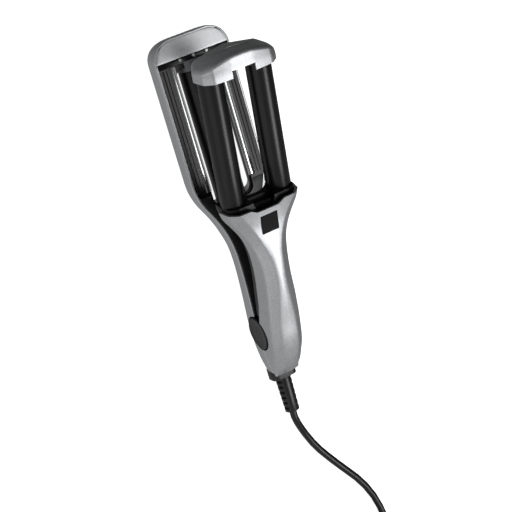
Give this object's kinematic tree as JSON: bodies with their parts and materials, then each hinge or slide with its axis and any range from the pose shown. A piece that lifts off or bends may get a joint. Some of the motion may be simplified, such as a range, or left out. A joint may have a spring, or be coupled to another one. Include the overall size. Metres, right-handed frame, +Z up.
{
  "type": "hair waver",
  "caption": "Corded hair waver, open on its back: two front barrels on a hinged arm close over a centre barrel and heated strips; round hinge button, cord coiled with a plug.",
  "frame": {"origin": "on the flat back of the rear arm, straight below the hinge axis", "axes": "+X across the tool towards the fixed hinge cap, +Y along the rear arm from the cord to the tip, +Z up from the flat back"},
  "size_m": [0.1425, 0.619, 0.1127],
  "materials": {
    "silver_plastic": "silver metallic paint on moulded plastic",
    "panel_plastic": "silver metallic paint on moulded plastic",
    "black_plastic": "gloss",
    "matt_black_plastic": "matt",
    "coated_barrel": "gloss ceramic coating",
    "strip_aluminium": "polished",
    "ceramic_heater": "matt",
    "heater_core": "as extruded",
    "grey_resin": "satin",
    "steel": "plain",
    "bronze": "plain",
    "board": "matt",
    "button_plastic": "gloss",
    "cord_pvc": "satin",
    "plug_brass": "nickel plated"
  },
  "bodies": {
    "rear_arm": {"rear_shell": "silver_plastic", "rear_tip_panel": "panel_plastic", "rear_liner": "black_plastic", "heated_strip_left": "strip_aluminium", "heated_strip_right": "strip_aluminium", "strip_heater_left": "ceramic_heater", "strip_heater_right": "ceramic_heater", "centre_barrel": "coated_barrel", "centre_heater": "heater_core", "barrel_end_ring": "grey_resin", "tip_holder": "black_plastic", "holder_screws": "steel", "base_holder": "black_plastic", "rear_cover": "matt_black_plastic", "rear_cover_screws": "steel", "hinge_block": "matt_black_plastic", "pivot_tube": "steel", "return_spring": "steel", "power_switch": "matt_black_plastic", "pivot_cap": "button_plastic", "circuit_board": "board", "thermal_fuse": "steel", "end_collar": "matt_black_plastic", "strain_relief": "cord_pvc", "cord_clamp": "matt_black_plastic", "cord": "cord_pvc", "cord_coil": "cord_pvc", "plug_body": "cord_pvc", "plug_pins": "plug_brass"},
    "front_arm": {"front_shell": "silver_plastic", "front_badge": "black_plastic", "front_chassis": "matt_black_plastic", "front_cover": "matt_black_plastic", "front_cover_screws": "steel", "pivot_bushes": "bronze", "front_collar": "black_plastic", "front_barrel_left": "coated_barrel", "front_barrel_right": "coated_barrel", "front_heater_left": "heater_core", "front_heater_right": "heater_core", "cap_plug": "black_plastic", "cap_screws": "steel", "front_cap": "silver_plastic"},
    "power_button": {"power_button": "button_plastic"}
  },
  "joints": [
    {"name": "jaw_hinge", "type": "hinge", "parent": "rear_arm", "child": "front_arm", "pos_m": [0, 0, 0.022], "axis": [-1, 0, 0], "range_deg": [0, 13], "stiffness_Nm_per_rad": 0.5, "springref_deg": -57.3},
    {"name": "button_press", "type": "slide", "parent": "rear_arm", "child": "power_button", "axis": [1, 0, 0], "range_m": [0, 0.0012], "stiffness_N_per_m": 800, "springref_m": -0.001}
  ]
}
